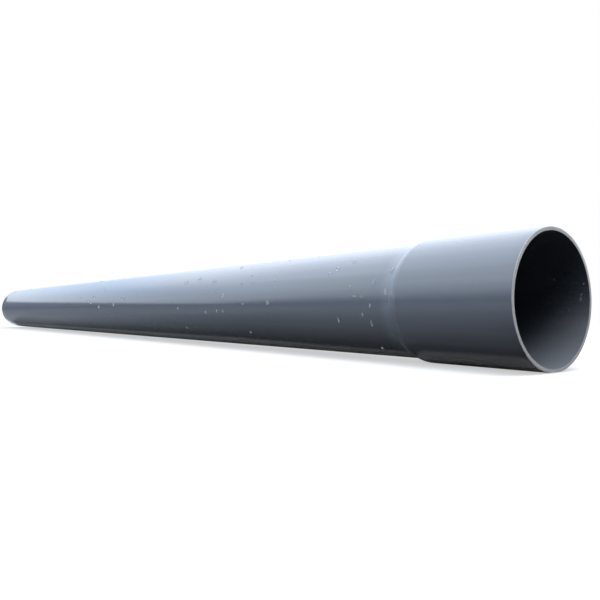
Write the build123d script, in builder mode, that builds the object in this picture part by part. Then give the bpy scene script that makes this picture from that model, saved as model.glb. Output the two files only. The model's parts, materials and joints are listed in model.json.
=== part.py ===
from build123d import *
import math
import os

# Grey PVC sewer pipe, extruded and then belled from one piece of tube: a plain spigot at one end,
# a formed socket at the other. It lies along X with the socket's mouth towards +X,
# and the socket rests on z = 0.

# Driving sizes, in millimetres and degrees
pipe_length = 2000.0  # overall, from the spigot's end to the socket's mouth
barrel_diameter = 125.0  # outside
wall = 3.7
socket_clearance = 0.4  # on the diameter, round a spigot of the same size
socket_depth = 134.0  # straight part of the socket, from the mouth
flare_angle = 22.0  # slope of the cone between the barrel and the socket
fold_radius = 4.0  # outside, where the barrel turns out into the cone
shoulder_radius = 18.0  # outside, where the cone turns back into the socket
spigot_lead_length = 7.0  # chamfer round the spigot's outer edge
spigot_lead_angle = 15.0
mouth_chamfer = 0.3  # round the mouth's inner edge
mouth_edge_radius = 0.3  # round the mouth's outer edge

# Sizes that follow from them
barrel_radius = barrel_diameter / 2
socket_radius = (barrel_diameter + socket_clearance) / 2 + wall
flare_step = socket_radius - barrel_radius
flare_run = flare_step / math.tan(math.radians(flare_angle))
half_turn = math.tan(math.radians(flare_angle / 2))

# Both bends share the cone between them, so the shoulder takes no more than the fold leaves
cone_length = flare_step / math.sin(math.radians(flare_angle))
fold_tangent = min(fold_radius * half_turn, 0.4 * cone_length)
shoulder_tangent = min(shoulder_radius * half_turn, 0.95 * (cone_length - fold_tangent))

mouth_x = pipe_length / 2
spigot_x = -pipe_length / 2
shoulder_x = mouth_x - socket_depth - shoulder_tangent
fold_x = shoulder_x - flare_run

pipe_axis = Axis((0, 0, socket_radius), (1, 0, 0))
section_plane = Plane(origin=(0, 0, socket_radius), x_dir=(1, 0, 0), z_dir=(0, -1, 0))

with BuildPart() as pipe:
    with BuildSketch(section_plane) as section:
        # The outside of the tube, bent out into the socket
        with BuildLine() as outside:
            Polyline(
                (spigot_x, barrel_radius),
                (fold_x, barrel_radius),
                (shoulder_x, socket_radius),
                (mouth_x, socket_radius),
            )
            shoulder = outside.vertices().sort_by(Axis.X)[2]
            fillet(shoulder, radius=shoulder_tangent / half_turn)
            fold = outside.vertices().sort_by(Axis.X)[1]
            fillet(fold, radius=fold_tangent / half_turn)
            # The wall keeps its thickness through the flare
            offset(amount=wall, side=Side.RIGHT)
        make_face()

        # Lead-in round the spigot, measured back along the barrel
        spigot_edge = section.vertices().group_by(Axis.X)[0].sort_by(Axis.Y)[-1]
        barrel_outside = section.edges().filter_by(Axis.X).sort_by(SortBy.LENGTH)[-2:].sort_by(Axis.Y)[-1]
        chamfer(spigot_edge, length=spigot_lead_length, angle=spigot_lead_angle, reference=barrel_outside)

        # Mouth, cut square and then eased round both of its edges
        mouth_inside = section.vertices().group_by(Axis.X)[-1].sort_by(Axis.Y)[0]
        chamfer(mouth_inside, length=mouth_chamfer)
        mouth_outside = section.vertices().group_by(Axis.X)[-1].sort_by(Axis.Y)[-1]
        fillet(mouth_outside, radius=mouth_edge_radius)
    revolve(axis=pipe_axis)

pipe.part.label = "pipe"

os.makedirs("parts", exist_ok=True)
export_step(pipe.part, "parts/pipe.step")
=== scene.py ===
import json
import math
import random

import bmesh
import bpy
from mathutils import Euler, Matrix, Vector


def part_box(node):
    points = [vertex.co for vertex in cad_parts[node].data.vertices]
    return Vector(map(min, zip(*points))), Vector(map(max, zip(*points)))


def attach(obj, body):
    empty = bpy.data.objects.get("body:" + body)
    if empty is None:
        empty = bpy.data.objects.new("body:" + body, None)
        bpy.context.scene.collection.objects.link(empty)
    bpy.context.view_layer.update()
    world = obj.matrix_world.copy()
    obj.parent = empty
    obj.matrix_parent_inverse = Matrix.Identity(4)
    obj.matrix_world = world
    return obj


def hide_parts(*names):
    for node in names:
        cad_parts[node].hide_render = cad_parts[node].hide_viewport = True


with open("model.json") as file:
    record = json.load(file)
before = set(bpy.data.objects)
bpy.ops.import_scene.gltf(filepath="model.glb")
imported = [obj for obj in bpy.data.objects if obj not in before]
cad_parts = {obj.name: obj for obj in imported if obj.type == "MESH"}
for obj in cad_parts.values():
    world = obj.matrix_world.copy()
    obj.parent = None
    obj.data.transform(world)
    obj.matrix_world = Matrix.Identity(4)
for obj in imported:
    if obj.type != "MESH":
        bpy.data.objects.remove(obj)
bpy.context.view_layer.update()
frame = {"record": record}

# Sizes of the pipe, in metres, read from the frame
MM = 0.001
mounts = {mount["name"]: mount for mount in frame["record"]["mounts"]}
pipe_low, pipe_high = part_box("pipe")
spigot_x = pipe_low.x
mouth_x = pipe_high.x
socket_radius = (pipe_high.z - pipe_low.z) / 2
axis_height = mounts["socket"]["pos_m"][2]
barrel_radius = mounts["spigot"]["dims"]["r_mm"] * MM
bore_radius = mounts["waterway"]["dims"]["r_mm"] * MM
socket_bore_radius = mounts["socket"]["dims"]["r_mm"] * MM
fold_x = spigot_x + mounts["waterway"]["dims"]["length_mm"] * MM
lead_x = fold_x - mounts["spigot"]["dims"]["length_mm"] * MM

# Sizes of its small features, in metres and radians
mouth_chamfer = 0.3 * MM
mouth_edge_radius = 0.3 * MM
flare_angle = math.radians(22)
fold_radius = 4 * MM
spigot_lead_angle = math.radians(15)

# Sizes that follow from them
socket_end_x = mouth_x - mouth_chamfer - mounts["socket"]["dims"]["length_mm"] * MM
wall = socket_radius - socket_bore_radius
flare_step = socket_radius - barrel_radius
half_turn = math.tan(flare_angle / 2)
flare_bends = socket_end_x - fold_x - flare_step / math.tan(flare_angle)
shoulder_radius = flare_bends / half_turn - fold_radius
spigot_face_radius = barrel_radius - (lead_x - spigot_x) * math.tan(spigot_lead_angle)

# How finely the pipe is turned, and the bend from which an edge is sharp
TURN_STEPS = 192
FOLD_STEPS = 8
SHOULDER_STEPS = 14
MOUTH_EDGE_STEPS = 4
BARREL_RING_SPACING = 50 * MM
SOCKET_RING_SPACING = 12 * MM
SHARP_BEND = math.radians(35)

# Zones of the pipe's surface, in the order of its material slots
OUTSIDE, SAWN, BORE, TRIMMED = range(4)

# Colours, linear
WHITE = (1, 1, 1, 1)
PVC_GREY = (0.124, 0.144, 0.178, 1)
PVC_PALE_STREAK = (0.146, 0.17, 0.208, 1)
# Painted highlight: the skin's grey made paler along the fold
PVC_PAINTED_FOLD_HIGHLIGHT = (0.18, 0.209, 0.256, 1)
PVC_SCUFF = (0.18, 0.198, 0.228, 1)
FILM_GREY = (0.17, 0.18, 0.196, 1)
BORE_GREY = (0.113, 0.125, 0.147, 1)
BORE_PALE_STREAK = (0.133, 0.148, 0.172, 1)
BORE_DUST = (0.156, 0.156, 0.16, 1)
# The sawn mouth's greys are partly painted light: a cut is paler than the skin, and these are paler still,
# standing in for the light that the screens before the mouth keep off the rim
SAWN_PALE_WITH_PAINTED_LIGHT = (0.68, 0.675, 0.665, 1)
SAWN_DARK_WITH_PAINTED_LIGHT = (0.53, 0.525, 0.52, 1)
TRIMMED_GREY = (0.29, 0.305, 0.325, 1)
TRIMMED_GREY_DARK = (0.22, 0.235, 0.255, 1)

# Roughness of the skin and the bore, clean and under a thick film, and of the cuts, least and most
THICK_FILM = 0.5
SKIN_ROUGHNESS = (0.2, 0.3)
BORE_ROUGHNESS = (0.3, 0.42)
CUT_ROUGHNESS = (0.55, 0.75)
SCUFF_ROUGHNESS = 0.25
WET_ROUGHNESS = 0.1
PVC_IOR = 1.54
WATER_IOR = 1.333

# The flare, drawn out hot, is duller: how far from its middle it is dull, and glossy again
FLARE_DULL_TO = 2 * MM
FLARE_GLOSSY_FROM = 11 * MM
FLARE_ROUGHNESS = 0.16
FLARE_WETNESS = 0.8

# How far from the fold the skin is painted paler: a painted highlight along the fold that fills the shade
# beside it
FOLD_HIGHLIGHT_REACH = 17 * MM

# The range that most of a noise keeps to
NOISE_LOW = 0.3
NOISE_HIGH = 0.7

# Broad bands that the die draws for each fine line
BANDS_PER_LINE = 0.12

# The cutting tool's strokes: how they lean, and how fast they change into the cut, along them and across
STROKE_LEAN = math.radians(35)
STROKE_FINENESS = (1, 60, 1500)


# Small helpers for node trees
def put(tree, kind, settings=None, **values):
    """A new node with its settings, and its inputs set or linked; an underscore stands for a space."""
    made = tree.nodes.new(kind)
    for name, value in (settings or {}).items():
        setattr(made, name, value)
    for name, value in values.items():
        set_input(tree, made.inputs[name.replace("_", " ")], value)
    return made


def set_input(tree, socket, value):
    if isinstance(value, bpy.types.NodeSocket):
        tree.links.new(value, socket)
    else:
        socket.default_value = value


def calculate(tree, operation, first, second=0.0, clamp=False):
    made = put(tree, "ShaderNodeMath", {"operation": operation, "use_clamp": clamp})
    set_input(tree, made.inputs[0], first)
    set_input(tree, made.inputs[1], second)
    return made.outputs[0]


def mix_colours(tree, share, under, over):
    made = put(tree, "ShaderNodeMix", {"data_type": "RGBA"})
    set_input(tree, made.inputs[0], share)
    set_input(tree, made.inputs[6], under)
    set_input(tree, made.inputs[7], over)
    return made.outputs[2]


def mix_shaders(tree, share, under, over):
    made = put(tree, "ShaderNodeMixShader", Fac=share)
    tree.links.new(under.outputs[0], made.inputs[1])
    tree.links.new(over.outputs[0], made.inputs[2])
    return made


def rescale(tree, value, from_low, from_high, to_low=0.0, to_high=1.0):
    """A value moved smoothly from one range to another, and held at the ends."""
    made = put(tree, "ShaderNodeMapRange", {"interpolation_type": "SMOOTHSTEP"}, Value=value,
               From_Min=from_low, From_Max=from_high, To_Min=to_low, To_Max=to_high)
    return made.outputs[0]


def surface_place(tree):
    return put(tree, "ShaderNodeTexCoord").outputs["Object"]


def stretched_place(tree, along, across):
    """A point of the surface, scaled along the pipe and across it."""
    scale = put(tree, "ShaderNodeCombineXYZ", X=along, Y=across, Z=across).outputs[0]
    made = put(tree, "ShaderNodeVectorMath", {"operation": "MULTIPLY"})
    tree.links.new(surface_place(tree), made.inputs[0])
    tree.links.new(scale, made.inputs[1])
    return made.outputs[0]


def distance_along(tree, from_x):
    """How far a point of the surface is along the pipe, either way, from a place on it."""
    x = put(tree, "ShaderNodeSeparateXYZ", Vector=surface_place(tree)).outputs["X"]
    return calculate(tree, "ABSOLUTE", calculate(tree, "SUBTRACT", x, from_x))


def noise(tree, place, detail=2.0, roughness=0.5):
    made = put(tree, "ShaderNodeTexNoise", Vector=place, Scale=1.0, Detail=detail, Roughness=roughness)
    return made.outputs["Fac"]


def bump(tree, height, strength, distance, **under):
    made = put(tree, "ShaderNodeBump", Height=height, Strength=strength, Distance=distance, **under)
    return made.outputs[0]


def new_group(name, inputs, outputs):
    """An empty shader node group with float sockets, and its two end nodes."""
    tree = bpy.data.node_groups.new(name, "ShaderNodeTree")
    for socket_name, value in inputs.items():
        socket = tree.interface.new_socket(socket_name, in_out="INPUT", socket_type="NodeSocketFloat")
        socket.default_value = value
    for socket_name in outputs:
        tree.interface.new_socket(socket_name, in_out="OUTPUT", socket_type="NodeSocketFloat")
    return tree, tree.nodes.new("NodeGroupInput"), tree.nodes.new("NodeGroupOutput")


def place_group(tree, group, **values):
    return put(tree, "ShaderNodeGroup", {"node_tree": group}, **values)


# Effects that several finishes share
def make_extrusion_lines():
    """Lines that the die draws along the tube: fine ones and broad bands, each from 0 to 1."""
    tree, given, result = new_group("extrusion_lines", {"Fineness": 700.0, "Run": 1.5}, ("Fine", "Broad"))
    fineness = given.outputs["Fineness"]
    lengthwise = given.outputs["Run"]
    wide = calculate(tree, "MULTIPLY", fineness, BANDS_PER_LINE)
    fine_lines = noise(tree, stretched_place(tree, lengthwise, fineness), detail=3.0)
    broad_bands = noise(tree, stretched_place(tree, lengthwise, wide))
    tree.links.new(fine_lines, result.inputs["Fine"])
    tree.links.new(broad_bands, result.inputs["Broad"])
    return tree


def make_handling_scuffs():
    """Thin pale rubs along the pipe, gathered in patches."""
    tree, given, result = new_group("handling_scuffs", {"Amount": 0.5}, ("Scuffs",))
    rubs = noise(tree, stretched_place(tree, 9.0, 700.0), detail=3.0, roughness=0.6)
    patches = noise(tree, stretched_place(tree, 5.0, 22.0))
    thin = rescale(tree, rubs, 0.6, 0.74)
    patchy = rescale(tree, patches, 0.5, 0.72)
    worn = calculate(tree, "MULTIPLY", thin, patchy)
    scuffs = calculate(tree, "MULTIPLY", worn, given.outputs["Amount"], clamp=True)
    tree.links.new(scuffs, result.inputs["Scuffs"])
    return tree


def make_dried_film():
    """A thin dusty film that rain has dried into, in soft clouds and small spots."""
    tree, given, result = new_group("dried_film", {"Amount": 0.5}, ("Film",))
    clouds = noise(tree, stretched_place(tree, 6.0, 14.0), detail=5.0, roughness=0.6)
    specks = noise(tree, stretched_place(tree, 380.0, 380.0))
    cloudy = rescale(tree, clouds, 0.35, 0.75)
    speckled = rescale(tree, specks, 0.55, 0.75, 0.0, 0.5)
    spread = calculate(tree, "ADD", cloudy, speckled)
    film = calculate(tree, "MULTIPLY", spread, given.outputs["Amount"], clamp=True)
    tree.links.new(film, result.inputs["Film"])
    return tree


# Finishes
def new_finish(name):
    """A material with nothing in it yet, and the tree to build in."""
    finish = bpy.data.materials.new(name)
    finish.use_nodes = True
    finish.node_tree.nodes.clear()
    return finish, finish.node_tree


def show(tree, shader):
    put(tree, "ShaderNodeOutputMaterial", Surface=shader.outputs[0])


def make_outside_finish(lines_group, scuffs_group, film_group):
    """Glossy extruded PVC, wet with rain, with faint lines along it."""
    finish, tree = new_finish("extruded_pvc")
    lines = place_group(tree, lines_group, Fineness=650.0, Run=1.2).outputs
    scuffs = place_group(tree, scuffs_group, Amount=0.15).outputs["Scuffs"]
    film = place_group(tree, film_group, Amount=0.28).outputs["Film"]
    from_fold = distance_along(tree, fold_x)
    from_flare = distance_along(tree, (fold_x + socket_end_x) / 2)

    streaks = rescale(tree, lines["Broad"], NOISE_LOW, NOISE_HIGH)
    # Painted highlight: paler towards the fold, standing in for the fold's broad reflection and filling the
    # shade beside it
    fold_highlight = rescale(tree, from_fold, 0.0, FOLD_HIGHLIGHT_REACH, 1.0, 0.0)
    colour = mix_colours(tree, streaks, PVC_GREY, PVC_PALE_STREAK)
    colour = mix_colours(tree, film, colour, FILM_GREY)
    colour = mix_colours(tree, scuffs, colour, PVC_SCUFF)
    colour = mix_colours(tree, fold_highlight, colour, PVC_PAINTED_FOLD_HIGHLIGHT)

    rubbed = calculate(tree, "MULTIPLY", scuffs, SCUFF_ROUGHNESS)
    drawn = rescale(tree, from_flare, FLARE_DULL_TO, FLARE_GLOSSY_FROM, FLARE_ROUGHNESS, 0.0)
    rough = rescale(tree, film, 0.0, THICK_FILM, *SKIN_ROUGHNESS)
    rough = calculate(tree, "ADD", rough, rubbed)
    rough = calculate(tree, "ADD", rough, drawn)
    wet = rescale(tree, from_flare, FLARE_DULL_TO, FLARE_GLOSSY_FROM, FLARE_WETNESS, 1.0)

    ridges = bump(tree, lines["Fine"], 0.03, 0.2 * MM)
    ridges = bump(tree, lines["Broad"], 0.06, 0.8 * MM, Normal=ridges)
    show(tree, put(tree, "ShaderNodeBsdfPrincipled", Base_Color=colour, Roughness=rough, Normal=ridges,
                   IOR=PVC_IOR, Coat_Weight=wet, Coat_Roughness=WET_ROUGHNESS))
    return finish


def make_bore_finish(lines_group, film_group):
    """The inside of the tube: the same PVC, duller, with a little dust."""
    finish, tree = new_finish("extruded_pvc_bore")
    lines = place_group(tree, lines_group, Fineness=420.0, Run=1.0).outputs
    film = place_group(tree, film_group, Amount=0.45).outputs["Film"]
    streaks = rescale(tree, lines["Broad"], NOISE_LOW, NOISE_HIGH)
    colour = mix_colours(tree, streaks, BORE_GREY, BORE_PALE_STREAK)
    colour = mix_colours(tree, film, colour, BORE_DUST)
    rough = rescale(tree, film, 0.0, THICK_FILM, *BORE_ROUGHNESS)
    ridges = bump(tree, lines["Fine"], 0.08, 0.3 * MM)
    show(tree, put(tree, "ShaderNodeBsdfPrincipled", Base_Color=colour, Roughness=rough, Normal=ridges,
                   IOR=PVC_IOR, Specular_IOR_Level=0.2))
    return finish


def make_cut_finish(name, pale, dark, film_group):
    """A cut end: paler than the skin, with the tool's fine scratches across it."""
    finish, tree = new_finish(name)
    film = place_group(tree, film_group, Amount=0.5).outputs["Film"]
    leaning = put(tree, "ShaderNodeMapping", Vector=surface_place(tree), Rotation=(STROKE_LEAN, 0, 0),
                  Scale=STROKE_FINENESS).outputs[0]
    strokes = noise(tree, leaning, detail=3.0, roughness=0.6)
    colour = mix_colours(tree, rescale(tree, strokes, NOISE_LOW, NOISE_HIGH), dark, pale)
    colour = mix_colours(tree, film, colour, FILM_GREY)
    rough = rescale(tree, strokes, NOISE_LOW, NOISE_HIGH, *CUT_ROUGHNESS)
    scratches = bump(tree, strokes, 0.3, 0.2 * MM)
    show(tree, put(tree, "ShaderNodeBsdfPrincipled", Base_Color=colour, Roughness=rough, Normal=scratches,
                   IOR=PVC_IOR))
    return finish


def make_rain_finish():
    """Clear water."""
    finish, tree = new_finish("rain_water")
    show(tree, put(tree, "ShaderNodeBsdfPrincipled", Base_Color=WHITE, Roughness=0.0, IOR=WATER_IOR,
                   Transmission_Weight=1.0))
    return finish


# The pipe
def arc(centre_x, centre_radius, radius, start, end, steps):
    """Points of the section along an arc, from one angle to another."""
    points = []
    for step in range(steps + 1):
        angle = start + (end - start) * step / steps
        points.append((centre_x + radius * math.cos(angle), centre_radius + radius * math.sin(angle)))
    return points


def run(from_x, to_x, radius, spacing):
    """Points of the section along a straight stretch, without its first point."""
    count = max(1, round(abs(to_x - from_x) / spacing))
    return [(from_x + (to_x - from_x) * step / count, radius) for step in range(1, count + 1)]


def flare(depth):
    """The bell's S-curve from the barrel to the socket, that far inside the outer surface."""
    fold = arc(fold_x, barrel_radius + fold_radius, fold_radius + depth,
               -math.pi / 2, -math.pi / 2 + flare_angle, FOLD_STEPS)
    shoulder = arc(socket_end_x, socket_radius - shoulder_radius, shoulder_radius - depth,
                   math.pi / 2 + flare_angle, math.pi / 2, SHOULDER_STEPS)
    return fold + shoulder


def pipe_section():
    """The half section, round from the spigot's inner edge: points, each with the zone that leads to it."""
    section = [((spigot_x, bore_radius), BORE)]

    def add(points, zone):
        section.extend((point, zone) for point in points)

    add([(spigot_x, spigot_face_radius), (lead_x, barrel_radius)], TRIMMED)
    add(run(lead_x, fold_x, barrel_radius, BARREL_RING_SPACING)[:-1], OUTSIDE)
    add(flare(0), OUTSIDE)
    add(run(socket_end_x, mouth_x - mouth_edge_radius, socket_radius, SOCKET_RING_SPACING), OUTSIDE)
    edge = arc(mouth_x - mouth_edge_radius, socket_radius - mouth_edge_radius, mouth_edge_radius,
               math.pi / 2, 0, MOUTH_EDGE_STEPS)
    add(edge[1:], SAWN)
    add([(mouth_x, socket_bore_radius + mouth_chamfer)], SAWN)
    add([(mouth_x - mouth_chamfer, socket_bore_radius)], BORE)
    add(run(mouth_x - mouth_chamfer, socket_end_x, socket_bore_radius, SOCKET_RING_SPACING)[:-1], BORE)
    add(reversed(flare(wall)), BORE)
    add(run(fold_x, spigot_x, bore_radius, BARREL_RING_SPACING)[:-1], BORE)
    return section


def turn_pipe(section):
    """The section turned about the pipe's axis into a closed mesh."""
    mesh = bpy.data.meshes.new("pipe_wall")
    build = bmesh.new()
    rings = []
    for (x, radius), _ in section:
        ring = []
        for step in range(TURN_STEPS):
            angle = math.tau * step / TURN_STEPS
            place = (x, radius * math.cos(angle), axis_height + radius * math.sin(angle))
            ring.append(build.verts.new(place))
        rings.append(ring)
    for index, (_, zone) in enumerate(section):
        before, after = rings[index - 1], rings[index]
        for step in range(TURN_STEPS):
            following = (step + 1) % TURN_STEPS
            face = build.faces.new((before[step], before[following], after[following], after[step]))
            face.material_index = zone
            face.smooth = True
    bmesh.ops.recalc_face_normals(build, faces=build.faces)
    build.to_mesh(mesh)
    build.free()
    mesh.set_sharp_from_angle(angle=SHARP_BEND)
    return mesh


def add_object(name, data):
    made = bpy.data.objects.new(name, data)
    bpy.context.scene.collection.objects.link(made)
    return made


def make_pipe(finishes):
    pipe = add_object("pipe_body", turn_pipe(pipe_section()))
    for finish in finishes:
        pipe.data.materials.append(finish)
    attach(pipe, "root")
    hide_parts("pipe")


# The rain on it: drops in view beside the socket, as distance from the mouth in millimetres,
# degrees up from level on the near side, half width in millimetres and stretch downwards
NEAR_DROPS = (
    (151.5, 32, 2.3, 1.6), (152, 9, 1.9, 2.2), (172, 19, 2.2, 1.5), (175, -4, 1.4, 1.6),
    (177, -22, 1.2, 3.2), (183, -55, 1.3, 1.4), (188, 5, 1.7, 1.2), (188, -13, 1.2, 1.7),
    (199, 6, 1.8, 1.2), (209, 15, 2.0, 1.4), (220, 47, 2.0, 1.2), (230, -19, 1.2, 3.1),
    (243, 39, 2.2, 1.3), (253, 33, 1.8, 1.2), (365, 29, 1.3, 1.2), (369, 1, 2.2, 1.5),
    (393, 34, 1.3, 1.2), (416, 27, 1.4, 1.2), (430, 40, 1.4, 1.2), (431, 0, 1.2, 1.2),
    (433, -40, 1.2, 1.5), (446, 28, 1.4, 1.1), (488, -9, 1.2, 2.8), (489, 12, 2.6, 1.4),
    (506, -9, 1.2, 2.8), (513, 18, 1.1, 1.8), (520, 18, 1.1, 1.8), (530, 34, 2.8, 1.3),
    (531, 18, 1.1, 1.8), (541, -11, 1.4, 1.6), (566, 12, 1.2, 1.3), (587, 41, 2.8, 1.3),
    (627, -37, 1.2, 2.0), (629, 37, 2.6, 1.3), (636, -5, 1.6, 1.6), (887, 14, 2.8, 1.5),
    (932, 3, 2.4, 1.6), (1016, 34, 2.2, 1.3), (1021, -1, 2.0, 1.5), (1064, 19, 2.4, 1.4),
    (1074, 8, 2.0, 1.5), (1091, 11, 2.8, 1.5), (1154, 18, 2.4, 1.4),
)

# Drops just inside the mouth, in the same terms but on its far side
MOUTH_DROPS = (
    (5, 15, 1.0, 1.3), (8, 5, 1.2, 1.5), (9, 1, 1.5, 1.8), (12, -4, 0.9, 1.3),
    (21, -8, 0.8, 1.2), (34, 20, 1.0, 1.2),
)

# Drops scattered over the top and the far side: how far they keep from the spigot's end and the fold,
# and the ranges of degrees round the barrel, of half widths, and of stretches and heights for the width
SCATTER_SEED = 7
SCATTER_COUNT = 70
SCATTER_FROM_SPIGOT = 100 * MM
SCATTER_TO_FOLD = 12 * MM
SCATTER_ROUND = (-50, 120)
SCATTER_HALF_WIDTHS = (0.8 * MM, 2.2 * MM)
SCATTER_STRETCHES = (0.2, 1.6)
SCATTER_HEIGHTS = (0.6, 0.8)

# The shape of a drop
DROP_LOWERING = 0.1  # height that stretch takes away, as a share of the half width
MOUTH_DROP_HEIGHT = 0.7  # as a share of the half width
DROP_HANG = 0.3  # how far the top of a long one moves down
DROP_TAPER = 0.35  # how much narrower that leaves its upper end
DROP_SINK = 0.1 * MM  # into the wall
DROP_RINGS = 6
DROP_SIDES = 16


def add_drop(build, x, angle, wall_radius, half_width, stretch, height, inside=False):
    """One drop on a wall of that radius: a dome whose lower side bulges as it hangs."""
    radial = Vector((0, math.cos(angle), math.sin(angle)))
    out = -radial if inside else radial
    along = Vector((1, 0, 0))
    down = along.cross(out)
    if down.z > 0:
        down = -down
    seat = Vector((x, 0, axis_height)) + radial * wall_radius - out * DROP_SINK
    curve = -2 * wall_radius if inside else 2 * wall_radius
    hang = DROP_HANG * (stretch - 1) / stretch
    rings = []
    for ring_step in range(DROP_RINGS):
        reach = math.cos(ring_step / DROP_RINGS * math.pi / 2)
        rise = math.sin(ring_step / DROP_RINGS * math.pi / 2)
        ring = []
        for side in range(DROP_SIDES):
            turn = math.tau * side / DROP_SIDES
            taper = 1 + DROP_TAPER * hang * math.sin(turn)
            across = half_width * reach * math.cos(turn) * taper
            fall = half_width * stretch * (reach * math.sin(turn) + hang * rise)
            sag = fall ** 2 / curve
            ring.append(build.verts.new(seat + along * across + down * fall + out * (height * rise - sag)))
        rings.append(ring)
    top = build.verts.new(seat + down * (half_width * stretch * hang) + out * height)
    for lower, upper in zip(rings, rings[1:]):
        for side in range(DROP_SIDES):
            following = (side + 1) % DROP_SIDES
            build.faces.new((lower[side], lower[following], upper[following], upper[side]))
    for side in range(DROP_SIDES):
        build.faces.new((rings[-1][side], rings[-1][(side + 1) % DROP_SIDES], top))
    build.faces.new(list(reversed(rings[0])))


def make_rain(finish):
    """The drops in view, and others scattered over the barrel's top and far side."""
    chance = random.Random(SCATTER_SEED)
    build = bmesh.new()
    for distance, rise, half_width, stretch in NEAR_DROPS:
        angle = math.pi - math.radians(rise)
        height = half_width * (1 - DROP_LOWERING * stretch) * MM
        add_drop(build, mouth_x - distance * MM, angle, barrel_radius, half_width * MM, stretch, height)
    for distance, rise, half_width, stretch in MOUTH_DROPS:
        height = half_width * MOUTH_DROP_HEIGHT * MM
        add_drop(build, mouth_x - distance * MM, math.radians(rise), socket_bore_radius, half_width * MM,
                 stretch, height, inside=True)
    for _ in range(SCATTER_COUNT):
        x = chance.uniform(spigot_x + SCATTER_FROM_SPIGOT, fold_x - SCATTER_TO_FOLD)
        angle = math.radians(chance.uniform(*SCATTER_ROUND))
        half_width = chance.uniform(*SCATTER_HALF_WIDTHS)
        stretch = 1 + abs(math.cos(angle)) * chance.uniform(*SCATTER_STRETCHES)
        height = half_width * chance.uniform(*SCATTER_HEIGHTS)
        add_drop(build, x, angle, barrel_radius, half_width, stretch, height)
    bmesh.ops.recalc_face_normals(build, faces=build.faces)
    for face in build.faces:
        face.smooth = True
    mesh = bpy.data.meshes.new("rain_drops")
    build.to_mesh(mesh)
    build.free()
    mesh.materials.append(finish)
    drops = add_object("rain_drops", mesh)
    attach(drops, "root")


# The studio: a floor that is plain white further out, sooner across the pipe than along it
FLOOR_REACH = 60.0
FLOOR_GREY = (0.75, 0.75, 0.75, 1)
FLOOR_GLOW = 0.55
FLOOR_PLAIN_FROM = 0.9
FLOOR_PLAIN_AT = 2.2
FLOOR_SHARE_ALONG = 0.6

# The dome's strength at the horizon and overhead, and how high overhead begins
SKY_LOW = 0.94
SKY_HIGH = 1.56
SKY_TOP = 0.75
SKY_TINT = (0.88, 0.98, 1.12, 1)

# Cards on the floor along the pipe, out of the camera's sight: a pale strip under it, then dark ones.
# Their colours are the strip's, the card's at the strip's edge, and the card's at each distance from it
CARD_LIFT = 0.5 * MM
STRIP_EDGE = 6 * MM
BARREL_STRIP = 28 * MM
FOLD_STRIP = 21 * MM
SOCKET_STRIP = 36 * MM
CARD_DISTANCES = (0.12, 0.3, 4.0)
CARDS_BY_MOUTH = (
    (0.62, 0.56, 0.48), (0.064, 0.056, 0.046), (0.11, 0.104, 0.094), (0.24, 0.245, 0.252),
    (0.27, 0.277, 0.288),
)
CARDS_BY_FOLD = (
    (0.7, 0.64, 0.56), (0.088, 0.081, 0.07), (0.108, 0.102, 0.092), (0.24, 0.245, 0.252),
    (0.27, 0.277, 0.288),
)
CARDS_MIDWAY = (
    (0.62, 0.58, 0.52), (0.09, 0.086, 0.08), (0.088, 0.09, 0.092), (0.204, 0.209, 0.217),
    (0.222, 0.229, 0.239),
)
CARDS_FAR = (
    (0.6, 0.57, 0.52), (0.16, 0.163, 0.165), (0.16, 0.165, 0.175), (0.145, 0.15, 0.16),
    (0.145, 0.15, 0.16),
)
CARDS_BY_SPIGOT = (
    (0.7, 0.67, 0.63), (0.25, 0.245, 0.245), (0.17, 0.175, 0.185), (0.145, 0.15, 0.16),
    (0.145, 0.15, 0.16),
)

# Where along the pipe, in metres, the cards have those colours, from behind it to in front of the mouth
CARDS_BACK_X = -5.0
CARDS_FRONT_X = 4.0
CARD_ROWS = (
    (CARDS_BACK_X, BARREL_STRIP, CARDS_BY_SPIGOT),
    (-0.7, BARREL_STRIP, CARDS_BY_SPIGOT),
    (-0.2, BARREL_STRIP, CARDS_FAR),
    (0.5, BARREL_STRIP, CARDS_MIDWAY),
    (fold_x, FOLD_STRIP, CARDS_BY_FOLD),
    (socket_end_x, SOCKET_STRIP, CARDS_BY_MOUTH),
    (CARDS_FRONT_X, SOCKET_STRIP, CARDS_BY_MOUTH),
)
MOUTH_CARD = (0.01, 0.01, 0.01)

# Screens that stand round the camera's side: direction in degrees, then the heights to which they are
# solid, at which they have faded out and at which a blue gel above them ends, and the gel's share half way
SCREEN_REACH = 4.0
SCREEN_STEP = 4
SCREEN_FOOT = -10 * MM
SIDE_SCREEN_GREY = (0.23, 0.245, 0.268)
SIDE_SCREEN = (
    (156, (0.0, 0.02, 2.4, 0.0)), (166, (0.0, 0.02, 2.4, 0.75)), (180, (0.5, 0.62, 2.4, 0.75)),
    (198, (0.42, 0.52, 2.4, 0.68)), (212, (0.1, 0.3, 2.0, 0.22)), (224, (0.0, 1.2, 1.6, 0.0)),
    (248, (0.0, 1.6, 1.8, 0.0)), (284, (0.0, 1.6, 1.8, 0.0)),
)
MOUTH_SCREEN = (
    (284, (0.0, 2.0, 2.2, 0.0)), (300, (1.4, 2.6, 2.8, 0.0)), (324, (2.0, 3.4, 3.6, 0.0)),
    (400, (2.0, 3.4, 3.6, 0.0)),
)
GEL_BLUE = (0.62, 0.75, 0.92, 1)

# A softbox above the mouth
SOFTBOX_PLACE = Vector((1.56, -0.1, 2.15))
SOFTBOX_SIZE = 1.6
SOFTBOX_POWER = 54.0


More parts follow.
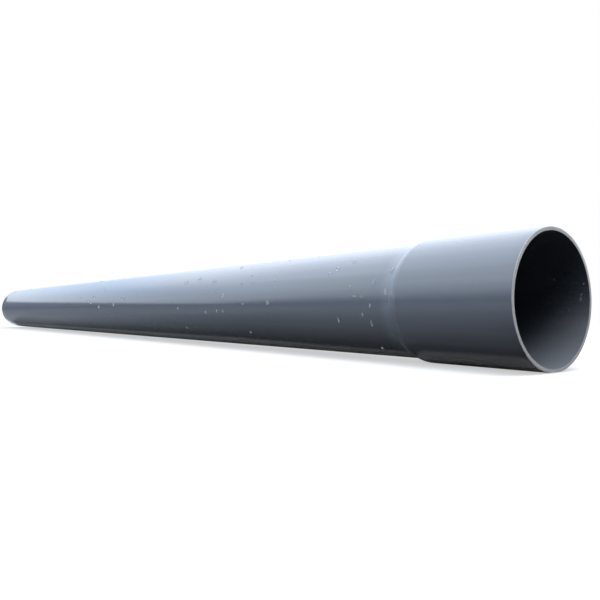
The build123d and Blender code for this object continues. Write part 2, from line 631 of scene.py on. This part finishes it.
def make_floor():
    """A pale floor that takes the pipe's shadow and turns plain white further out."""
    mesh = bpy.data.meshes.new("studio_floor")
    edge = FLOOR_REACH
    corners = [(x, y, pipe_low.z) for x, y in ((-edge, -edge), (edge, -edge), (edge, edge), (-edge, edge))]
    mesh.from_pydata(corners, [], [(0, 1, 2, 3)])
    finish, tree = new_finish("pale_floor")
    matt = put(tree, "ShaderNodeBsdfDiffuse", Color=FLOOR_GREY)
    white = put(tree, "ShaderNodeEmission", Color=WHITE, Strength=1.0)
    path = put(tree, "ShaderNodeLightPath").outputs
    seen = calculate(tree, "MAXIMUM", path["Is Camera Ray"], path["Is Glossy Ray"])
    seen = calculate(tree, "MAXIMUM", seen, path["Is Transmission Ray"])
    place = stretched_place(tree, FLOOR_SHARE_ALONG, 1.0)
    away = put(tree, "ShaderNodeVectorMath", {"operation": "LENGTH"}, Vector=place).outputs["Value"]
    glow = rescale(tree, away, FLOOR_PLAIN_FROM, FLOOR_PLAIN_AT, FLOOR_GLOW, 1.0)
    show(tree, mix_shaders(tree, calculate(tree, "MULTIPLY", seen, glow), matt, white))
    finish.cycles.emission_sampling = "NONE"
    mesh.materials.append(finish)
    floor = add_object("studio_floor", mesh)


def read_layer(tree, name, output):
    return put(tree, "ShaderNodeAttribute", {"attribute_name": name}).outputs[output]


def make_card_finish():
    """Card in its corners' colours, gone or turned into gel where they say, and clear from behind."""
    finish, tree = new_finish("studio_card")
    colour = read_layer(tree, "card_colour", "Color")
    gone = read_layer(tree, "gone", "Fac")
    gel = read_layer(tree, "gel", "Fac")
    behind = put(tree, "ShaderNodeNewGeometry").outputs["Backfacing"]
    front = calculate(tree, "SUBTRACT", 1.0, behind)
    filtered = mix_colours(tree, calculate(tree, "MULTIPLY", gel, front), WHITE, GEL_BLUE)
    matt = put(tree, "ShaderNodeBsdfDiffuse", Color=colour)
    clear = put(tree, "ShaderNodeBsdfTransparent", Color=filtered)
    clear_share = calculate(tree, "MAXIMUM", rescale(tree, gone, 0.0, 1.0), behind)
    show(tree, mix_shaders(tree, clear_share, matt, clear))
    return finish


def card_corner(x, y, height, colour, gone=0.0, gel=0.0):
    """A corner of a card: its place, its colour, the share that is gone there and the share of gel."""
    return (x, y, pipe_low.z + height), colour, gone, gel


def make_cards(name, sheets, finish, in_reflections=True):
    """Cards out of the camera's sight, from sheets of four corners each."""
    corners = [corner for sheet in sheets for corner in sheet]
    places, colours, gone, gel = zip(*corners)
    mesh = bpy.data.meshes.new(name)
    mesh.from_pydata(places, [], [tuple(range(first, first + 4)) for first in range(0, len(corners), 4)])
    layer = mesh.attributes.new("card_colour", "FLOAT_COLOR", "POINT")
    layer.data.foreach_set("color", [share for colour in colours for share in (*colour, 1.0)])
    mesh.attributes.new("gone", "FLOAT", "POINT").data.foreach_set("value", gone)
    mesh.attributes.new("gel", "FLOAT", "POINT").data.foreach_set("value", gel)
    mesh.materials.append(finish)
    cards = add_object(name, mesh)
    cards.visible_camera = False
    cards.visible_transmission = False
    cards.visible_glossy = in_reflections


def floor_card_sheets():
    """Cards along both sides of the pipe."""
    sheets = []
    for side in (-1, 1):
        grid = []
        for x, strip, (strip_colour, *card_colours) in CARD_ROWS:
            distances = (0.0, strip, strip + STRIP_EDGE, *CARD_DISTANCES)
            colours = (strip_colour, strip_colour, *card_colours)
            grid.append([card_corner(x, side * distance, CARD_LIFT, colour)
                         for distance, colour in zip(distances, colours)])
        for back, front in zip(grid, grid[1:]):
            for near in range(len(back) - 1):
                sheet = [back[near], back[near + 1], front[near + 1], front[near]]
                sheets.append(sheet if side < 0 else sheet[::-1])
    return sheets


def between(stops, place):
    """The values at a place between (place, values) stops."""
    for (start, first), (end, second) in zip(stops, stops[1:]):
        if place <= end:
            share = (place - start) / (end - start)
            return [low + (high - low) * share for low, high in zip(first, second)]
    return list(stops[-1][1])


def screen_sheets(stops, colour):
    """A curved screen, solid at its foot and fading out above."""
    posts = []
    for degrees in range(stops[0][0], stops[-1][0] + 1, SCREEN_STEP):
        solid, faded, gel_end, gel = between(stops, degrees)
        x = SCREEN_REACH * math.cos(math.radians(degrees))
        y = SCREEN_REACH * math.sin(math.radians(degrees))
        posts.append([
            card_corner(x, y, SCREEN_FOOT, colour),
            card_corner(x, y, solid, colour),
            card_corner(x, y, faded, colour, gone=1.0),
            card_corner(x, y, (faded + gel_end) / 2, colour, gone=1.0, gel=gel),
            card_corner(x, y, gel_end, colour, gone=1.0),
        ])
    sheets = []
    for first, second in zip(posts, posts[1:]):
        for level in range(len(first) - 1):
            sheets.append([second[level], first[level], first[level + 1], second[level + 1]])
    return sheets


def make_dark_surround():
    """Cards and screens that keep the pipe dark underneath and inside, and soften the horizon in it."""
    finish = make_card_finish()
    side_sheets = floor_card_sheets() + screen_sheets(SIDE_SCREEN, SIDE_SCREEN_GREY)
    make_cards("side_cards", side_sheets, finish)
    reach = CARD_DISTANCES[-1]
    outline = ((mouth_x, -reach), (CARDS_FRONT_X, -reach), (CARDS_FRONT_X, reach), (mouth_x, reach))
    floor_card = [card_corner(x, y, 2 * CARD_LIFT, MOUTH_CARD) for x, y in outline]
    mouth_sheets = [floor_card] + screen_sheets(MOUTH_SCREEN, MOUTH_CARD)
    make_cards("mouth_cards", mouth_sheets, finish, in_reflections=False)


def make_sky():
    """A soft pale dome, brighter overhead, behind a plain white background."""
    world = bpy.data.worlds.new("soft_dome")
    world.use_nodes = True
    tree = world.node_tree
    tree.nodes.clear()
    direction = put(tree, "ShaderNodeTexCoord").outputs["Generated"]
    height = put(tree, "ShaderNodeSeparateXYZ", Vector=direction).outputs["Z"]
    strength = rescale(tree, height, 0.0, SKY_TOP, SKY_LOW, SKY_HIGH)
    dome = put(tree, "ShaderNodeBackground", Color=SKY_TINT, Strength=strength)
    white = put(tree, "ShaderNodeBackground", Color=WHITE, Strength=1.0)
    seen = put(tree, "ShaderNodeLightPath").outputs["Is Camera Ray"]
    sky = mix_shaders(tree, seen, dome, white)
    put(tree, "ShaderNodeOutputWorld", Surface=sky.outputs[0])
    bpy.context.scene.world = world


def make_softbox():
    lamp = bpy.data.lights.new("softbox", "AREA")
    lamp.shape = "SQUARE"
    lamp.size = SOFTBOX_SIZE
    lamp.energy = SOFTBOX_POWER
    softbox = add_object("softbox", lamp)
    softbox.location = SOFTBOX_PLACE
    aim = Vector((mouth_x, 0, axis_height)) - SOFTBOX_PLACE
    softbox.rotation_euler = aim.to_track_quat("-Z", "Y").to_euler()
    softbox.visible_camera = False


# The camera, low down in front of the mouth
CAMERA_PLACE = (1.298, -0.517, 0.056)
VIEW_HEADING = math.radians(142.68)
VIEW_RISE = math.radians(1.05)
LENS_MM = 36.5
SENSOR_MM = 36.0
NEAREST_SEEN = 20 * MM


def make_camera():
    lens = bpy.data.cameras.new("view")
    lens.lens = LENS_MM
    lens.sensor_width = SENSOR_MM
    lens.clip_start = NEAREST_SEEN
    camera = add_object("view", lens)
    camera.location = CAMERA_PLACE
    camera.rotation_euler = Euler((math.pi / 2 + VIEW_RISE, 0, VIEW_HEADING - math.pi / 2), "XYZ")
    bpy.context.scene.camera = camera


extrusion_lines = make_extrusion_lines()
handling_scuffs = make_handling_scuffs()
dried_film = make_dried_film()
make_pipe([
    make_outside_finish(extrusion_lines, handling_scuffs, dried_film),
    # The sawn rim's colours carry painted light as well as the cut's own paleness
    make_cut_finish("sawn_pvc_with_painted_light", SAWN_PALE_WITH_PAINTED_LIGHT, SAWN_DARK_WITH_PAINTED_LIGHT, dried_film),
    make_bore_finish(extrusion_lines, dried_film),
    make_cut_finish("trimmed_pvc", TRIMMED_GREY, TRIMMED_GREY_DARK, dried_film),
])
make_rain(make_rain_finish())
make_floor()
make_dark_surround()
make_sky()
make_softbox()
make_camera()
bpy.context.scene.view_settings.view_transform = "Standard"
